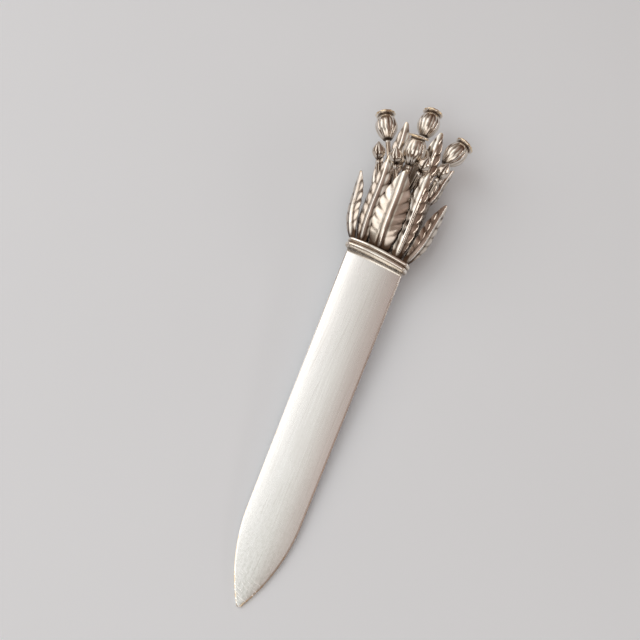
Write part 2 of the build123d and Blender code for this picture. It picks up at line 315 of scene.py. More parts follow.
hairlines, _, end = new_group("Hairlines", [], LINES)
for label, (scale, detail, turn) in LINES.items():
    value = streaks(hairlines, scale, detail, turn)
    if label in LIMITS:
        value = smooth_step(hairlines, value, *LIMITS[label])
    hairlines.links.new(value, end.inputs[label])
print("hairlines:", list(LINES))

# %% [markdown]
# Tarnish settles in hollows and painted shade darkens them as well, and wear bares the warmer metal under
# the plate on proud places. Blender can find such places from a mesh's curvature, but only in one of its
# render engines. So each surface marks its own hollow and proud places when it is made, and these groups
# only break up the marks with blotches.

# %% Tarnish, painted shade and wear
BLOTCHES = (420, 420, 420)
CHIPS = (700, 700, 700)

tarnish_and_shade, start, end = new_group("TarnishAndPaintedShade", ["Hollow"], ["Mask"])
# The hollow mark, broken up by blotches: tarnish, and painted shade in the hollows.
blotched = scaled(tarnish_and_shade, streaks(tarnish_and_shade, BLOTCHES, 4.0), 0.5, start.outputs["Hollow"])
tarnish_and_shade.links.new(smooth_step(tarnish_and_shade, blotched, 0.4, 1.24), end.inputs["Mask"])

wear, start, end = new_group("Wear", ["Proud"], ["Mask"])
chipped = scaled(wear, streaks(wear, CHIPS, 3.0), 1.1, start.outputs["Proud"])
wear.links.new(smooth_step(wear, chipped, 0.8, 1.5), end.inputs["Mask"])
print("groups:", [group.name for group in (hairlines, tarnish_and_shade, wear)])

# %% [markdown]
# Both silvers of the knife age and are shaded in the same way: first the plate is worn to a brassy tone,
# then tarnish and painted shade darken what the cloth never reaches. Both end in one metal shader, whose
# normal follows a small height. Two shaders could be mixed instead, but one shader with mixed colours is
# lighter and easier to bake.

# %% Aged silver with painted shade
BRASS = (0.83, 0.64, 0.4, 1)
# The dark brown of the hollows: tarnish, and painted shade.
SHADE_AND_TARNISH_BROWN = (0.09, 0.055, 0.035, 1)


def placed(tree, group, **inputs):
    """Places a shared effect in a material, feeds it and gives its outputs."""
    made = node(tree, "ShaderNodeGroup", node_tree=group)
    for label, value in inputs.items():
        tree.links.new(value, made.inputs[label])
    return made.outputs


def mark(tree, name):
    """Reads one of the marks that a surface carries."""
    return node(tree, "ShaderNodeAttribute", attribute_name=name).outputs["Fac"]


def aged_and_shaded(tree, bright):
    """A bright metal, warmed by wear and then darkened by tarnishing and painted shade; also gives that dark
    mask.
    """
    worn = placed(tree, wear, Proud=mark(tree, "proud"))["Mask"]
    painted_shade_and_tarnish = placed(tree, tarnish_and_shade, Hollow=mark(tree, "hollow"))["Mask"]
    return blend(tree, painted_shade_and_tarnish, blend(tree, worn, bright, BRASS), SHADE_AND_TARNISH_BROWN), painted_shade_and_tarnish


def metal(name, tree, colour, roughness, height, strength, depth):
    """Ends a metal's network: one shader, whose normal follows a height of a depth in millimetres."""
    bump = node(tree, "ShaderNodeBump", {"Height": height, "Strength": strength, "Distance": depth * MM})
    sockets = {"Base Color": colour, "Metallic": 1.0, "Roughness": roughness, "Normal": bump.outputs[0]}
    surface = node(tree, "ShaderNodeBsdfPrincipled", sockets)
    node(tree, "ShaderNodeOutputMaterial", {"Surface": surface.outputs[0]})
    print("metal:", name, "from", len(tree.nodes), "nodes")


print("aging:", wear.name, "and then", tarnish_and_shade.name)

# %% [markdown]
# The blade is satin sheet silver: brush lines run along it, scatter its reflections across and catch light
# one by one, and its point is greyed and scuffed crosswise. An anisotropic shader would stretch the
# reflections as well, but the lines themselves would be missing when the blade is seen from close by.

# %% Satin silver
SILVER = (0.97, 0.965, 0.945, 1)
BRUSHED = (0.92, 0.91, 0.89, 1)
SCRATCH = (0.62, 0.58, 0.54, 1)
GREY = (0.72, 0.72, 0.67, 1)
WHITE = (0.99, 0.985, 0.96, 1)
SMEARS = (60, 140, 90)


def satin_silver(name):
    """Sheet silver.

    Colour = silver, greyed along brush lines and cuts, worn to brass and darkened by tarnishing and painted
    shade, greyed by grain and whitened by scuffs at the point. Roughness = a base, plus smears and brush
    lines, less the polish of worn edges. Height = brush lines and scuffs, less cuts."""
    made = bpy.data.materials.new(name)
    tree = blank_tree(made)
    lines = placed(tree, hairlines)
    proud = mark(tree, "proud")
    point = mark(tree, "scuffed")
    scuffs = scaled(tree, lines["Scuffs"], smooth_step(tree, point, 0.42, 0.72))
    colour = blend(tree, smooth_step(tree, lines["Brush"], 0.3, 0.7), SILVER, BRUSHED)
    colour, _ = aged_and_shaded(tree, blend(tree, scaled(tree, lines["Cuts"], 0.25), colour, SCRATCH))
    colour = blend(tree, scaled(tree, lines["Grain"], scaled(tree, point, 0.65, 0.08)), colour, GREY)
    colour = blend(tree, scuffs, colour, WHITE)
    rough = scaled(tree, lines["Brush"], 0.1, scaled(tree, streaks(tree, SMEARS, 3.0), 0.14, 0.15))
    rough = scaled(tree, proud, -0.14, rough)
    height = scaled(tree, lines["Cuts"], -0.4, scaled(tree, scuffs, 3.0, lines["Brush"]))
    strength = scaled(tree, scuffs, 0.25, scaled(tree, proud, -0.09, 0.1))
    metal(name, tree, colour, rough, height, strength, 0.06)
    return made


blade_silver = satin_silver("satin_silver")

# %% [markdown]
# The castings are polished silver: bright on their proud places, where hands and cloth have polished them
# and where a painted highlight lightens them further; duller and warmer where they stand back; golden on the
# rims and tips where the plate is thin; and brown in the hollows, with tarnish and painted shade. Their skin
# is never quite even, as on anything cast and filed by hand, and a soft noise gives it that. The collar is a
# little less polished than the leaves.

# %% Cast silver
CAST = (0.93, 0.885, 0.825, 1)
CAST_DULL = (0.6, 0.515, 0.43, 1)
SKIN = (300, 300, 300)


def polished_silver(name, roughness):
    """Cast silver.

    Colour = dull to bright with the mark for proud places, partly polish and partly a painted highlight,
    then worn and darkened by tarnishing and painted shade. Roughness = a base, plus an uneven skin and the
    dark mask. Height = the skin."""
    made = bpy.data.materials.new(name)
    tree = blank_tree(made)
    skin = streaks(tree, SKIN, 4.0)
    # Proud places get the bright silver: polish, and partly a painted highlight.
    rubbed_and_highlit = smooth_step(tree, scaled(tree, skin, -0.3, mark(tree, "proud")), -0.25, 0.2)
    colour, painted_shade_and_tarnish = aged_and_shaded(tree, blend(tree, rubbed_and_highlit, CAST_DULL, CAST))
    rough = scaled(tree, painted_shade_and_tarnish, 0.3, scaled(tree, skin, 0.08, roughness))
    metal(name, tree, colour, rough, skin, 0.3, 0.2)
    return made


cast_silver = polished_silver("cast_silver", 0.1)
collar_silver = polished_silver("collar_silver", 0.14)

# %% [markdown]
# Every new surface is a grid: rows from one end to the other, and columns once round. Blender has a
# modifier that turns a profile on an axis, but a grid takes any shape that a formula can give. Its faces
# follow from counting: each quad joins two rows and two columns, the last column meets the first, and a
# fan of triangles closes each end.


# %% Grid faces
def grid_faces(rows, columns):
    """Quads between neighbouring rows, closed round the columns, and a fan over each end."""
    row = np.arange(rows - 1)[:, None] * columns
    column = np.arange(columns)
    following = (column + 1) % columns
    corners = [row + column, row + following, row + columns + following, row + columns + column]
    quads = np.stack(corners, axis=-1).reshape(-1, 4)
    first = np.stack([following, column, np.full(columns, rows * columns)], axis=-1)
    last_row = (rows - 1) * columns
    last = np.stack([last_row + column, last_row + following, np.full(columns, rows * columns + 1)], axis=-1)
    return quads, np.concatenate([first, last])


print("a grid of 3 rows and 8 columns:", [len(faces) for faces in grid_faces(3, 8)], "quads and triangles")

# %% [markdown]
# One function turns a grid of points into a piece of the knife. It adds the two end points, turns the faces
# outwards if the enclosed volume comes out negative, stores the marks that the silvers read, and lets the
# piece ride on the CAD body in place of its plain solid. Each piece could do this in its own few lines, but
# then every change would have to be made many times.


# %% Dressing a node
def dress(node_name, slot, material, points, **marks):
    """Builds the closed surface over a grid of points, lets it stand for a CAD node and counts triangles."""
    rows, columns = points.shape[:2]
    quads, fans = grid_faces(rows, columns)
    vertices = np.concatenate([points.reshape(-1, 3), [points[0].mean(axis=0), points[-1].mean(axis=0)]])
    corner = (vertices - vertices.mean(axis=0))[quads]
    volume = np.einsum("ij,ij->", corner[:, 0], np.cross(corner[:, 1], corner[:, 2]))
    volume += np.einsum("ij,ij->", corner[:, 0], np.cross(corner[:, 2], corner[:, 3]))
    order = 1 if volume > 0 else -1
    mesh = bpy.data.meshes.new("new_" + node_name)
    mesh.from_pydata(vertices, [], quads[:, ::order].tolist() + fans[:, ::order].tolist())
    mesh.polygons.foreach_set("use_smooth", np.ones(len(mesh.polygons), dtype=bool))
    for name, values in marks.items():
        grid = np.broadcast_to(values, (rows, columns))
        ends = [grid[0].mean(), grid[-1].mean()]
        stored = mesh.attributes.new(name, "FLOAT", "POINT")
        stored.data.foreach_set("value", np.concatenate([grid.ravel(), ends]).astype(np.float32))
    mesh.materials.append(material)
    piece = bpy.data.objects.new("new_" + node_name, mesh)
    bpy.context.scene.collection.objects.link(piece)
    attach(piece, "root")
    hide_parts(node_name)
    return len(quads) * 2 + len(fans)


print("CAD nodes to dress:", len(frame["nodes"]))

# %% [markdown]
# The blade's outline is a straight taper that runs into two arcs, which meet in a small round point. It
# could be a curve with handles, but arcs are what a smith files to a gauge: each follows from the place
# where it leaves the taper without a corner. For each distance along the knife the formula gives half the
# width there.

# %% Blade outline
BLADE_HALF = 12.0
POINT = 35.0
POINT_HALF = 10.5
POINT_RADIUS = 1.2

taper = (BLADE_HALF - POINT_HALF) / (BLADE - POINT)
inward = np.array([taper, -1.0]) / math.hypot(taper, 1.0)
to_tip = np.array([-POINT, -POINT_HALF])
arc_radius = to_tip @ to_tip / (2 * to_tip @ inward)
arc_x, arc_y = np.array([POINT, POINT_HALF]) + arc_radius * inward
round_x = arc_x - math.sqrt((arc_radius - POINT_RADIUS) ** 2 - arc_y**2)
join_x = arc_x + (round_x - arc_x) * arc_radius / (arc_radius - POINT_RADIUS)
tip_x = round_x - POINT_RADIUS


def blade_half(x):
    """Half the blade's width: a round point, then an arc, then a straight taper."""
    point = np.sqrt(np.clip(POINT_RADIUS**2 - (x - round_x) ** 2, 0, None))
    arc = arc_y + np.sqrt(np.clip(arc_radius**2 - (x - arc_x) ** 2, 0, None))
    line = POINT_HALF + (x - POINT) * taper
    return np.where(x < join_x, point, np.where(x < POINT, arc, line))


print("point at", round(tip_x, 2), "mm, half width at 20 mm:", round(float(blade_half(20.0)), 2))

# %% [markdown]
# Across, the blade is a thin lens: flat behind and arched in front, with a narrow bevel along its edges. One
# loop of columns runs over the front, round one edge, back along the flat side and round the other edge.
# Rows lie closer towards the tip, because the outline turns fastest there, and towards the collar they slant
# with it. Wear is marked along the edges and the point, where the plate has gone first, and a thin dark line
# of painted shadow where the blade goes into the collar.

# %% Blade
POINT_THICK = 1.0
BLADE_THICK = 1.8
MIDDLE = BLADE_THICK / 2
EDGE_THICK = 0.7
BEVEL = 0.55
SLANT = math.radians(8)
BLADE_ROWS = 240
BLADE_COLUMNS = 160
LEAST_HALF = 0.02

share = np.linspace(0, 1, BLADE_ROWS)[:, None]
turn = np.linspace(0, 2 * np.pi, BLADE_COLUMNS, endpoint=False)
x = tip_x + (BLADE - tip_x) * (0.35 * share**2 + 0.65 * share**4)
half = np.maximum(blade_half(x), LEAST_HALF)
left = half * np.sign(np.cos(turn)) * np.abs(np.cos(turn)) ** 0.55
from_edge = half - np.abs(left)
thick = POINT_THICK + (BLADE_THICK - POINT_THICK) * x / BLADE
thin = EDGE_THICK * (1 + x / BLADE) / 2
crest = thick - (thick - thin) * np.clip(half / POINT_HALF, 0, 1) * (left / half) ** 2
bevel = np.clip(1 - from_edge / BEVEL, 0, 1)
front = np.where(np.sin(turn) >= 0, crest - 0.42 * thin * bevel, 0.1 * bevel**3)
along = x + left * math.tan(SLANT) * (x / BLADE) ** 8

tip_near = np.exp(-(x - tip_x) / 20.0)
proud = np.exp(-from_edge / 0.5) * (0.25 + 0.6 * np.exp(-x / 60)) + 0.3 * tip_near**2
# A thin dark line of painted shadow where the blade goes into the collar.
hollow = 0.35 * np.exp(-(BLADE - x) / 0.4)
marks = {"hollow": hollow, "proud": proud, "scuffed": tip_near}
count = dress("blade", "blade", blade_silver, spot(along, left, front), **marks)
print("blade:", count, "triangles, thickest", round(float(crest.max()), 2), "mm")

# %% [markdown]
# The collar is a moulding run round an oval: two half-round reeds with a groove between them. The oval is
# made of two broad arcs and two round ends that share their tangents, so a point on it follows from the
# direction in which its edge faces. A stretched circle would be shorter to write, but its ends would be too
# sharp for the blade's shoulders.

# %% Collar shapes
COLLAR_HALF = 13.6
COLLAR_DEPTH = 4.7
COLLAR_END = 3.2
REED = 1.6
GROOVE = 0.6
GROOVE_DEPTH = 0.7
COLLAR = 2 * REED + GROOVE


def oval(facing, half_width, half_depth, end_radius):
    """The point of an oval whose edge faces a direction: on an end's circle or on one of the broad arcs."""
    end_middle = half_width - end_radius
    broad = (end_middle**2 + half_depth**2 - end_radius**2) / (2 * (half_depth - end_radius))
    limit = math.atan2(broad - half_depth, end_middle)
    on_end = np.abs(np.arctan(np.tan(facing))) < limit
    side = np.sign(np.cos(facing))
    face = np.sign(np.sin(facing))
    radius = np.where(on_end, end_radius, broad)
    wide = np.where(on_end, side * end_middle, 0.0) + radius * np.cos(facing)
    deep = np.where(on_end, 0.0, -face * (broad - half_depth)) + radius * np.sin(facing)
    return wide, deep


def moulding(level):
    """How far the collar's skin lies inside its widest oval at a level: two half rounds and a groove."""
    lower = 2 * level / REED - 1
    upper = 2 * (level - REED - GROOVE) / REED - 1
    rise = np.maximum(1 - lower**2, 1 - upper**2)
    return GROOVE_DEPTH * (1 - np.sqrt(np.clip(rise, 0, None)))


print("collar:", round(COLLAR, 1), "mm high, groove:", round(float(moulding(COLLAR / 2)), 2), "mm deep")

# %% [markdown]
# The rows of the collar run from the middle of its lower face out to the rim, up over the reeds and in again
# to the middle of its upper face. Two discs and a band could be joined instead, but one run of rows leaves
# no seam. A shallow, uneven dip goes round it, because such mouldings are filed by eye. Dark lines of
# painted shade, with some tarnish, are marked in the groove, under the leaves and where the blade goes in,
# and the caps are lightened as a painted highlight.

# %% Collar
CAP_ROWS = np.linspace(0.04, 1, 16)[:-1]
FACE_ROWS = np.linspace(0, COLLAR, 77)
COLLAR_COLUMNS = 240
FILED = 0.05

level = np.concatenate([0 * CAP_ROWS, FACE_ROWS, COLLAR + 0 * CAP_ROWS])[:, None]
shrink = np.concatenate([CAP_ROWS, 1 + 0 * FACE_ROWS, CAP_ROWS[::-1]])[:, None]
edge_way = np.linspace(0, 2 * np.pi, COLLAR_COLUMNS, endpoint=False) + 0.001
inner_sizes = [size - GROOVE_DEPTH for size in (COLLAR_HALF, COLLAR_DEPTH, COLLAR_END)]
wide, deep = oval(edge_way, *inner_sizes)
dip = moulding(level) + FILED * (1 + np.sin(5 * edge_way + 2.1 * level) * np.sin(3 * edge_way + 1.0))
wide = shrink * (wide + (GROOVE_DEPTH - dip) * np.cos(edge_way))
deep = shrink * (deep + (GROOVE_DEPTH - dip) * np.sin(edge_way))
along = BLADE + level * math.cos(SLANT) + wide * math.sin(SLANT)
left = wide * math.cos(SLANT) - level * math.sin(SLANT)

# Painted shade with some tarnish: the groove, where the blade goes in, and under the leaves.
in_groove = np.exp(-(((level - COLLAR / 2) / 0.3) ** 2))
at_blade = 0.45 * (shrink < 1) * np.exp(-np.clip(np.abs(deep) - MIDDLE, 0, None) / 0.2)
at_leaves = np.exp(-(COLLAR - level) / 0.25)
hollow = np.maximum(np.maximum(in_groove, at_blade), at_leaves)
# The caps are marked proud so that they get the bright silver, a painted highlight; the groove and the band
# under the leaves are marked less proud, which is painted shade.
proud = np.where(shrink < 1, 0.3, 0.4 - dip - 0.3 * at_leaves)
points = spot(along, left, MIDDLE + deep)
count = dress("collar", "collar", collar_silver, points, hollow=hollow, proud=proud)
print("collar:", count, "triangles")

# %% [markdown]
# A leaf is drawn like a strip of sheet metal. Its side view is an S of two arcs that leave the belly level,
# and its outline is two more such arcs. One formula for such an arc therefore serves both views of every
# leaf on the handle. A spline would also do, but it would not lie on the CAD model's own arcs.


# %% Leaf arcs
def level_arc(x, x0, y0, x1, y1):
    """Height of a circle's arc that leaves (x0, y0) level and passes through (x1, y1)."""
    rise = y1 - y0
    step = x - x0
    bend = 2 * rise / ((x1 - x0) ** 2 + rise**2)
    return y0 + bend * step**2 / (1 + np.sqrt(np.clip(1 - (bend * step) ** 2, 0, None)))


def two_arcs(x, belly, root, tip):
    """Two level arcs that part at the belly, one down to the root and one to the tip."""
    return np.where(x < belly[0], level_arc(x, *belly, *root), level_arc(x, *belly, *tip))


print("an arc from (0, 0) level to (10, 2), halfway:", round(float(level_arc(5.0, 0, 0, 10, 2)), 3))

# %% [markdown]
# On its outside a leaf has the relief that a chaser would punch: a midrib between two valleys, and wings
# that swell in a row of pillows, one for each lobe of the edge. The creases between the pillows slant from
# the midrib to the notches, and their bottom is rounded a little, so that the grid can follow them.

# %% Leaf relief
LOBE = 4.6
SLOPE = 0.8
CREASE = 0.02
RIB = 0.62
VALLEY = 1.25
VALLEY_WIDTH = 0.5


def relief(x, share, edge, across, lobed):
    """Height of the relief, and marks for its dark places (painted shade and tarnishing) and its bright ones
    (polish and painted highlight), over a leaf's grid.

    Height = a bell for the midrib, less a bell for each valley, plus a row of arches on the wings."""
    offside = np.abs(across)
    phase = (x - SLOPE * edge * (offside - 1)) / LOBE
    crease_floor = CREASE**0.35
    pillow = ((np.cos(np.pi * phase) ** 2 + CREASE) ** 0.35 - crease_floor) / (1 - crease_floor)
    rib = np.exp(-((edge * across / RIB) ** 2)) * (1 - share) ** 0.5
    valley = np.exp(-(((edge * offside - VALLEY) / VALLEY_WIDTH) ** 2)) * (1 - share) ** 0.3
    wings = np.clip(1.5 * offside - 0.25, 0, 1) * lobed
    height = 0.36 * rib - 0.14 * valley + 0.3 * wings * (pillow - 0.4)
    return height, 0.7 * valley + wings * (1 - pillow) ** 2, 0.4 * rib + 0.2 * wings * pillow


print("lobes on a leaf of 36 mm:", round(36 / LOBE, 1))

# %% [markdown]
# The leaf itself is a thin folded section carried along its side view. The columns run over the outside from
# edge to edge and back over the inside. The root sinks a little into its solder, the tip is round, and
# tarnish with painted shade darkens the inside, the creases and the root; the midrib, the pillows and the
# tip are marked proud, for wear and polish and partly as a painted highlight.

# %% Leaf
SINK = 0.6
LEAF_WIDEST = 0.45
LEAF_TIP = 0.6
LEAF_THICK = 1.4
LEAF_EDGE = 0.5
LEAF_FOLD = 1.2
FOLD_ROUND = 0.8
NOTCH = 0.12
LEAF_ROWS = 150
LEAF_COLUMNS = 160


def leaf(node_name, seat, out, lean, length, width, root_width, reach, bulge):
    """A folded leaf: rows along it, columns round its thin section.

    Height = the S-shaped side view, less a rounded fold towards the edges, plus the thickness of the
    section, plus the relief on the outside. The lean then tips the finished leaf sideways about its seat."""
    share = np.linspace(0, 1, LEAF_ROWS)[:, None]
    turn = np.linspace(0, 2 * np.pi, LEAF_COLUMNS, endpoint=False)
    x = -SINK + (length + SINK) * (1.35 * share - 0.35 * share**2)
    widest = LEAF_WIDEST * length
    half = width / 2
    edge = two_arcs(x, (widest, half), (-SINK, root_width / 2), (length, LEAF_TIP))
    edge = edge * np.sqrt(1 - 0.985 * np.clip((x - length + LEAF_TIP) / LEAF_TIP, 0, 1) ** 2)
    across = np.cos(turn)
    sideways = edge * across
    skin = np.sign(np.sin(turn)) * np.abs(np.sin(turn)) ** 0.7
    outside = np.clip(skin, 0, 1)
    lobed = np.sin(np.pi * share) ** 0.6

    centre = two_arcs(x, (widest, bulge), (-SINK, 0.0), (length, reach))
    fold = LEAF_FOLD * (np.sqrt(sideways**2 + FOLD_ROUND) - math.sqrt(FOLD_ROUND)) / half
    thick = LEAF_THICK + (LEAF_EDGE - LEAF_THICK) * np.clip((x - widest) / (length - widest), 0, 1)
    chased, dark, bright = relief(x, share, edge, across, lobed)
    height = centre - fold + 0.5 * thick * skin * (0.6 - 0.2 * np.abs(across)) + outside * chased
    sideways = sideways * (1 - NOTCH * lobed * (1 - np.abs(np.cos(np.pi * x / LOBE))) * across**4)

    along = seat[0] + x * math.cos(lean) - sideways * math.sin(lean)
    sideways = sideways * math.cos(lean) + x * math.sin(lean)
    left = seat[1] + out[0] * height + out[1] * sideways
    front = seat[2] + out[1] * height - out[0] * sideways
    # Hollow: painted shade with some tarnish on the inside, in the creases and at the root. Proud: wear and
    # polish on the midrib, the pillows and the tip, partly a painted highlight.
    hollow = outside * dark + 0.6 * (1 - outside) + np.exp(-np.abs(x) / 2.2)
    proud = outside * bright + 0.7 * np.exp(-(1 - share) / 0.07)
    return dress(node_name, "ornament", cast_silver, spot(along, left, front), hollow=hollow, proud=proud)


print("leaf grid:", LEAF_ROWS, "rows of", LEAF_COLUMNS, "columns")

# %% [markdown]
# The leaves come in six sizes. Those on the collar rise a little above the core's flat top, apart from the
# ones at the back, which end short of the two nodding buds that the handle rests on. So their lengths
# follow from the core, the buds and a clearance.

# %% Leaf sizes
BASE = BLADE + COLLAR / math.cos(SLANT)
CORE = 26.0
CORE_TOP = BASE + CORE
FRONT_RISE = 5.0
FLANK_RISE = 10.0
SIDE_RISE = 4.0
STEM = 1.15
FOOT = 3.0
FOOT_CLEARANCE = 2.0
HOOK_RISE = 1.5
HOOK_DROP = 1.2
foot_middle = CORE + HOOK_RISE - HOOK_DROP - math.sqrt(FOOT**2 - STEM**2)

# Length, width, width at the root, reach of the tip and bulge of the belly
FRONT_LEAF = (CORE + FRONT_RISE, 12.6, 7.4, 9.0, 6.0)
FLANK_LEAF = (CORE + FLANK_RISE, 8.0, 3.4, 6.5, 3.6)
SIDE_LEAF = (CORE + SIDE_RISE, 7.6, 2.4, 4.8, 4.2)
BACK_LEAF = (foot_middle - FOOT - FOOT_CLEARANCE, 7.6, 5.5, 3.4, 3.4)
UPPER_LEAF = (28.0, 8.0, 2.0, 6.0, 2.8)
WING_LEAF = (19.0, 7.5, 2.0, 4.5, 2.5)
print("leaf lengths in mm:", [round(size[0], 1) for size in (FRONT_LEAF, FLANK_LEAF, SIDE_LEAF, BACK_LEAF)])

# %% [markdown]
# Eight leaves stand in a ring on the collar. The front, flank and back ones face straight out from the oval;
# the two at the sides are turned to the front and lean away. Five more stand on the flat top of the core
# behind them and fill the upper part of the handle. Copies of one leaf would be quicker, but each has a
# size and a bow of its own.

# %% Leaves
RING_HALF = 11.9
RING_DEPTH = 3.0
FLANK_TURN = 39
SIDE_TURN = 73
BACK_TURN = 136
SIDE_FACING = 46
UPPER_FACING = 12
WING_FACING = 60
UPPER_SEAT = (6.15, 1.9)
WING_SEAT = (10.6, -1.6)
LEAN = math.radians(11)


def facing(degrees):
    """A direction across the knife, turned from the front towards the left."""
    return np.array([math.sin(math.radians(degrees)), math.cos(math.radians(degrees))])


def ring_seat(degrees):
    """The point of the collar at a turn from the front towards the left."""
    left, front = facing(degrees) * (RING_HALF, RING_DEPTH)
    return BASE + left * math.tan(SLANT), left, MIDDLE + front


def ring_leaf(node_name, degrees, size):
    """Stands a leaf on the collar so that it faces straight out from the oval."""
    out = facing(degrees) / (RING_HALF, RING_DEPTH)
    return leaf(node_name, ring_seat(degrees), out / np.linalg.norm(out), 0.0, *size)


def core_leaf(node_name, seat, degrees, lean, size):
    """Stands a leaf on the core's top, at a seat so far to the left and to the front of its middle."""
    return leaf(node_name, (CORE_TOP, seat[0], MIDDLE + seat[1]), facing(degrees), lean, *size)


count = ring_leaf("front_leaf", 0, FRONT_LEAF) + ring_leaf("back_leaf", 180, BACK_LEAF)
count += core_leaf("back_upper_leaf", (0.0, -UPPER_SEAT[1]), 180, 0.0, UPPER_LEAF)
for side, sign in (("left", 1), ("right", -1)):
    count += ring_leaf(f"{side}_flank_leaf", sign * FLANK_TURN, FLANK_LEAF)
    count += ring_leaf(f"{side}_back_leaf", sign * BACK_TURN, BACK_LEAF)
    seat = ring_seat(sign * SIDE_TURN)
    count += leaf(f"{side}_leaf", seat, facing(sign * SIDE_FACING), sign * LEAN, *SIDE_LEAF)
    seat = (sign * UPPER_SEAT[0], UPPER_SEAT[1])
    count += core_leaf(f"{side}_upper_leaf", seat, sign * UPPER_FACING, 0.0, UPPER_LEAF)
    seat = (sign * WING_SEAT[0], WING_SEAT[1])
    count += core_leaf(f"{side}_wing_leaf", seat, sign * WING_FACING, sign * LEAN, WING_LEAF)
print("leaves:", count, "triangles")

# %% [markdown]
# Stems, seed heads and buds are all turned about an axis, with something that varies round it: flutes on a
# stem, ribs and a scalloped crown on a seed head, the seams of the sepals on a bud. A lathe modifier could
# turn the profile but not the ribs. So they share one function, which takes the distance along the axis and
# from it for every grid point.

# %% Turned pieces
around = np.linspace(0, 2 * np.pi, 96, endpoint=False)


def axis_frame(lean_left, lean_front):
    """An axis that leans left and front from the knife's length, and two directions square to it."""
    axis = ALONG + math.tan(lean_left) * LEFT + math.tan(lean_front) * FRONT
    axis = axis / np.linalg.norm(axis)
    first = np.cross(axis, LEFT)
    first = first / np.linalg.norm(first)
    return axis, first, np.cross(axis, first)


def turned(origin, frame_of_axis, height, radius):
    """Points at a height along the axis and a radius from it, in millimetres, once round."""
    axis, first, second = frame_of_axis
    ring = np.cos(around)[:, None] * first + np.sin(around)[:, None] * second
    return origin + MM * (height[..., None] * axis + radius[..., None] * ring)


print("turned pieces have", len(around), "columns")

# %% [markdown]
# A stem is drawn wire with seven shallow flutes. It swells into its solder at the foot and into a small ring
# below what it carries, and its flutes and both ends are marked dark with painted shade and some tarnish. A
# plain cylinder would have the right size, but it would show one straight white line where the real one
# flickers.

# %% Stems
FLUTES = 7
FLUTE_DEPTH = 0.07
STEM_ROWS = 90
RING_BELOW = 1.1


def stem_radius(height, flute, ring=0.0):
    """A slim stem that swells into its solder at the foot and into a ring, less its flutes."""
    solder = np.exp(-(height + SINK) / 0.8)
    return STEM * (0.88 + 0.3 * solder + 0.14 * ring) * (1 - FLUTE_DEPTH * flute)


def stalk(node_name, left, front, frame_of_axis, length):
    """A straight stem on the core's top; gives its triangles and the point where it ends.

    Radius = that of a stem, with its ring a little below the end. The flutes turn slowly as they rise."""
    seat = spot(CORE_TOP, left, MIDDLE + front)
    height = -SINK + (length + SINK) * np.linspace(0, 1, STEM_ROWS)[:, None]
    ring = np.exp(-(((length - RING_BELOW - height) / 0.5) ** 2))
    flute = 0.5 + 0.5 * np.cos(FLUTES * around + 0.25 * height)
    points = turned(seat, frame_of_axis, height, stem_radius(height, flute, ring))
    # Hollow: painted shade with some tarnish in the flutes and at both ends. Proud: the ring, polish and
    # partly a painted highlight.
    hollow = 0.35 * flute + 0.9 * np.exp(-height / 2.5) + 0.5 * np.exp(-(length - height) / 0.7)
    marks = {"hollow": hollow, "proud": 0.5 * ring - 0.1}
    count = dress(f"{node_name}_stem", "ornament", cast_silver, points, **marks)
    return count, seat + MM * length * frame_of_axis[0]


print("a stem is", 2 * STEM, "mm thick")

# %% [markdown]
# A seed head is a ribbed pot with a flat crown. Its profile is part of a sine wave; the crown flares from a
# neck, darkened by painted shade with some tarnish, into a scalloped rim, and rays run over its top. The
# cloth has polished the belly and the rim, which are also lightened as a painted highlight.
# Pot, rim and top could be three pieces, but as one grid of rows they have no seams.

# %% Seed head
HEAD_RADIUS = 4.6
HEAD_FOOT = 1.8
HEAD_NECK = 2.8
NECK = 10.9
CROWN_RADIUS = 4.2
CROWN_TOP = 3.0
CROWN_RISE = 1.152
RIBS = 12
POT_ROWS = 70
RIM_ROWS = 24


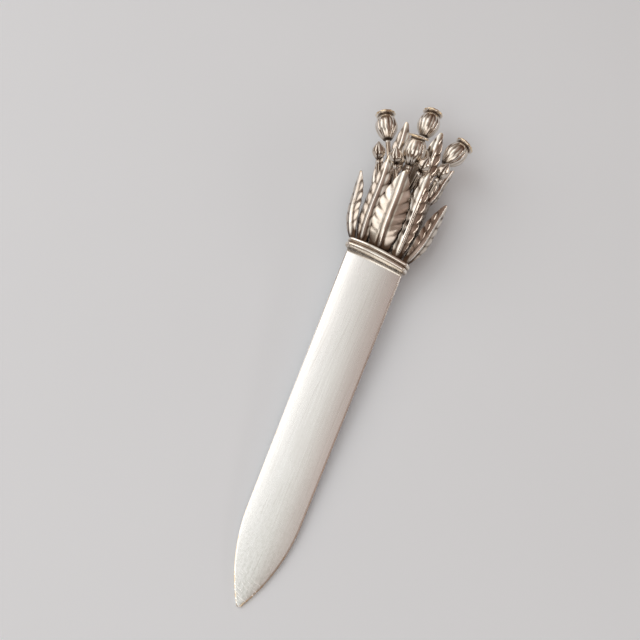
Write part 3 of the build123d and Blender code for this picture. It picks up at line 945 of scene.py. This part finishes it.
def seed_head(name, left, front, lean_left, lean_front, length):
    """A seed head on its stem.

    Pot: radius = a sine wave with ribs. Rim: out and back along half a turn, scalloped round. Top: in to the
    middle, with rays."""
    frame_of_axis = axis_frame(lean_left, lean_front)
    count, base = stalk(f"{name}_head", left, front, frame_of_axis, length)
    share = np.linspace(0, 1, POT_ROWS)[:, None]
    rim = np.linspace(0, np.pi, RIM_ROWS)[1:, None]
    inward = np.linspace(1, 0.04, RIM_ROWS)[1:, None]
    flat = 0 * around
    swell = np.sin(np.pi * share)
    rib = np.abs(np.cos(RIBS / 2 * around)) ** 0.8
    scallop = 0.5 + 0.5 * np.cos(RIBS * around)

    first = math.asin(HEAD_FOOT / HEAD_RADIUS)
    last = math.pi - math.asin(HEAD_NECK / HEAD_RADIUS)
    pot = HEAD_RADIUS * np.sin(first + (last - first) * share) * (1 - 0.075 * swell * (1 - rib))
    flare = CROWN_TOP + (CROWN_RADIUS - CROWN_TOP) * np.sin(rim) ** 0.6 * (0.86 + 0.14 * scallop)
    rim_height = NECK + 0.1 + 0.5 * CROWN_RISE * (1 - np.cos(rim)) + flat
    top_height = rim_height[-1] + 0.22 * scallop * np.sin(np.pi * inward) + 0.1 * (1 - inward)
    radius = np.concatenate([pot, flare, CROWN_TOP * inward + flat])
    height = np.concatenate([NECK * share + flat, rim_height, top_height])

    # Hollow: painted shade with some tarnish between the ribs, at both ends of the pot, under the rim and
    # between the scallops. Proud: polish on the belly's ribs, the rim and the scallops, partly a painted
    # highlight.
    pot_dark = 0.7 * swell * (1 - rib) ** 2 + 0.8 * np.exp(-share / 0.06) + np.exp(-(1 - share) / 0.07)
    hollow = np.concatenate([pot_dark, 0.5 * np.exp(-rim / 0.3) + flat, 0.75 - 0.7 * scallop + 0 * inward])
    proud = np.concatenate([0.2 * swell * rib, 0.75 * np.sin(rim) + flat, 0.5 * scallop + 0 * inward])
    points = turned(base, frame_of_axis, height, radius)
    return count + dress(f"{name}_head", "ornament", cast_silver, points, hollow=hollow, proud=proud)


print("a seed head has", RIBS, "ribs")

# %% [markdown]
# Four seed heads stand on the core: one upright, two that lean out to the sides on stems of different
# lengths, and one that leans to the front and clears the tip of the front leaf.

# %% Seed heads
HEAD_SEAT = 3.6
DEPTH_SEAT = 2.3
SIDE_LEAN = math.radians(24)
FRONT_LEAN = math.radians(28)
TIP_CLEARANCE = 5.0
TOP_STEM = 28.0
LEFT_STEM = 24.0
RIGHT_STEM = 21.0
front_rise = FRONT_RISE + TIP_CLEARANCE

count = seed_head("top", 0.0, 0.0, 0.0, 0.0, TOP_STEM)
count += seed_head("left", HEAD_SEAT, 0.0, SIDE_LEAN, 0.0, LEFT_STEM)
count += seed_head("right", -HEAD_SEAT, 0.0, -SIDE_LEAN, 0.0, RIGHT_STEM)
count += seed_head("front", 0.0, DEPTH_SEAT, 0.0, FRONT_LEAN, front_rise / math.cos(FRONT_LEAN))
print("seed heads:", count, "triangles")

# %% [markdown]
# A bud is a small egg in two sepals, so two seams run from its stem to its tip, with shallow folds between
# them. It is turned like the seed heads. Two buds stand at the sides, and two lean out from under the front
# seed head, clear of its belly.

# %% Buds
BUD_RADIUS = 2.7
BUD_HEIGHT = 7.0
BUD_END = math.radians(177)
BUD_ROWS = 60
BUD_SEAT = (9.3, 0.6)
BUD_SPREAD = math.radians(20)
BUD_LEAN = math.radians(34)
FRONT_BUD_LEAN = math.radians(40)
FRONT_BUD_SEAT = 2.4
FRONT_BUD_DROP = 2.0
FRONT_BUD_CLEARANCE = 0.5


def sepals(node_name, base, frame_of_axis, height, radius, share):
    """An egg with two sunk seams and shallow folds that run along it."""
    swell = np.sin(np.pi * share)
    seam = np.exp(-((np.sin(around) / 0.16) ** 2))
    folds = 0.5 + 0.5 * np.cos(10 * around + 0.6 * np.sin(3 * np.pi * share))
    radius = radius * (1 - 0.1 * seam * np.abs(swell) ** 0.5 - 0.03 * folds * swell)
    # Hollow: painted shade with some tarnish in the seams, the folds and at the stem. Proud: the tip and the
    # crests of the folds, polish and partly a painted highlight.
    hollow = 0.8 * seam + 0.2 * folds + np.exp(-share / 0.08)
    proud = 0.45 * np.exp(-(1 - share) / 0.12) + 0.1 * (1 - folds)
    points = turned(base, frame_of_axis, height, radius)
    return dress(node_name, "ornament", cast_silver, points, hollow=hollow, proud=proud)


def bud(name, left, front, lean_left, lean_front, rise):
    """A bud on a straight stem that ends at a rise above the core; its radius follows a sine wave."""
    frame_of_axis = axis_frame(lean_left, lean_front)
    length = rise / float(frame_of_axis[0] @ ALONG)
    count, base = stalk(f"{name}_bud", left, front, frame_of_axis, length)
    share = np.linspace(0, 1, BUD_ROWS)[:, None]
    first = math.asin(STEM / BUD_RADIUS)
    radius = BUD_RADIUS * np.sin(first + (BUD_END - first) * share)
    return count + sepals(f"{name}_bud", base, frame_of_axis, BUD_HEIGHT * share, radius, share)


count = 0
front_bud_rise = front_rise - FRONT_BUD_DROP
spread = math.atan2(HEAD_RADIUS + FRONT_BUD_CLEARANCE - FRONT_BUD_SEAT, front_bud_rise)
for side, sign in (("left", 1), ("right", -1)):
    seat = (sign * BUD_SEAT[0], BUD_SEAT[1])
    count += bud(side, *seat, sign * BUD_SPREAD, BUD_LEAN, SIDE_RISE + TIP_CLEARANCE)
    seat = (sign * FRONT_BUD_SEAT, DEPTH_SEAT)
    count += bud(f"{side}_front", *seat, sign * spread, FRONT_BUD_LEAN, front_bud_rise)
print("buds:", count, "triangles")

# %% [markdown]
# Two buds nod at the back on hooked stems, and the knife rests on them. The hook is a tube along a short
# rise, half a circle and a short drop. A bevelled curve would give such a tube too, but not its flutes. Its
# section keeps one fixed direction, to the left, because the hook lies in a plane; the other direction turns
# with the path.

# %% Feet
HOOK = 3.1
FOOT_LEFT = 5.5
FOOT_END = math.radians(176)
HOOK_ROWS = 110


def hook_path(travel):
    """Distance back, distance along and heading of the path after a travel from the core's top."""
    bend = np.clip((travel - HOOK_RISE) / HOOK, 0, np.pi)
    after = np.clip(travel - HOOK_RISE - np.pi * HOOK, 0, None)
    forward = np.clip(travel, None, HOOK_RISE) + HOOK * np.sin(bend) - after
    return HOOK * (1 - np.cos(bend)), forward, bend


def hooked_stem(side, left):
    """A fluted tube along the hook: each ring of it is square to the path."""
    travel = np.linspace(-SINK, HOOK_RISE + np.pi * HOOK + HOOK_DROP, HOOK_ROWS)[:, None]
    backward, forward, bend = hook_path(travel)
    flute = 0.5 + 0.5 * np.cos(FLUTES * around)
    radius = stem_radius(travel, flute)
    outward = radius * np.cos(around)
    along = CORE_TOP + forward + outward * np.sin(bend)
    front = MIDDLE - DEPTH_SEAT - backward + outward * np.cos(bend)
    points = spot(along, left + radius * np.sin(around), front)
    # Hollow: painted shade with some tarnish in the flutes and at the foot.
    hollow = 0.35 * flute + 0.9 * np.exp(-travel / 2.5)
    return dress(f"{side}_foot_stem", "ornament", cast_silver, points, hollow=hollow, proud=0.1)


def foot_bud(side, left):
    """A round bud that hangs from the hook's end: a sphere from its neck to its tip, with sepals."""
    share = np.linspace(0, 1, BUD_ROWS)[:, None]
    neck = math.asin(STEM / FOOT)
    angle = neck + (FOOT_END - neck) * share
    base = spot(CORE_TOP + HOOK_RISE - HOOK_DROP, left, MIDDLE - DEPTH_SEAT - 2 * HOOK)
    axis, first, second = axis_frame(0.0, 0.0)
    height = FOOT * (math.cos(neck) - np.cos(angle))
    radius = FOOT * np.sin(angle)
    return sepals(f"{side}_foot_bud", base, (-axis, first, second), height, radius, share)


count = 0
for side, sign in (("left", 1), ("right", -1)):
    count += hooked_stem(side, sign * FOOT_LEFT) + foot_bud(side, sign * FOOT_LEFT)
print("feet:", count, "triangles")

# %% [markdown]
# Two CAD solids need no new surface. The core shows only as dark ground between the leaves, so it gets a
# punched, blackened silver: its own finish, and also a dark material put where shade falls, darkest in the
# punch dips as painted shade. The cement inside it gets the dull brown of cutler's pitch. Both keep their
# CAD mesh and only change their material.

# %% Core and cement
PUNCHES_PER_METRE = 1100.0
PUNCHED = (0.5, 0.45, 0.4, 1)
PITCH_DARK = (0.05, 0.03, 0.02, 1)
PITCH_BROWN = (0.16, 0.1, 0.06, 1)
GRIT = (800, 800, 800)

ground = bpy.data.materials.new("punched_ground")
tree = blank_tree(ground)
place = node(tree, "ShaderNodeTexCoord").outputs["Object"]
cells = {"Vector": place, "Scale": PUNCHES_PER_METRE}
punches = node(tree, "ShaderNodeTexVoronoi", cells).outputs["Distance"]
# The punch dips take the dark brown of tarnish and painted shade.
metal("punched_ground", tree, blend(tree, punches, SHADE_AND_TARNISH_BROWN, PUNCHED), 0.38, punches, 0.8, 0.3)

pitch = bpy.data.materials.new("cutlers_pitch")
tree = blank_tree(pitch)
brown = blend(tree, streaks(tree, GRIT, 4.0), PITCH_DARK, PITCH_BROWN)
surface = node(tree, "ShaderNodeBsdfPrincipled", {"Base Color": brown, "Roughness": 0.7})
node(tree, "ShaderNodeOutputMaterial", {"Surface": surface.outputs[0]})

for name, material in (("handle_core", ground), ("tang_cement", pitch)):
    frame["nodes"][name].data.materials.clear()
    frame["nodes"][name].data.materials.append(material)
print("CAD nodes kept: handle_core, tang_cement")
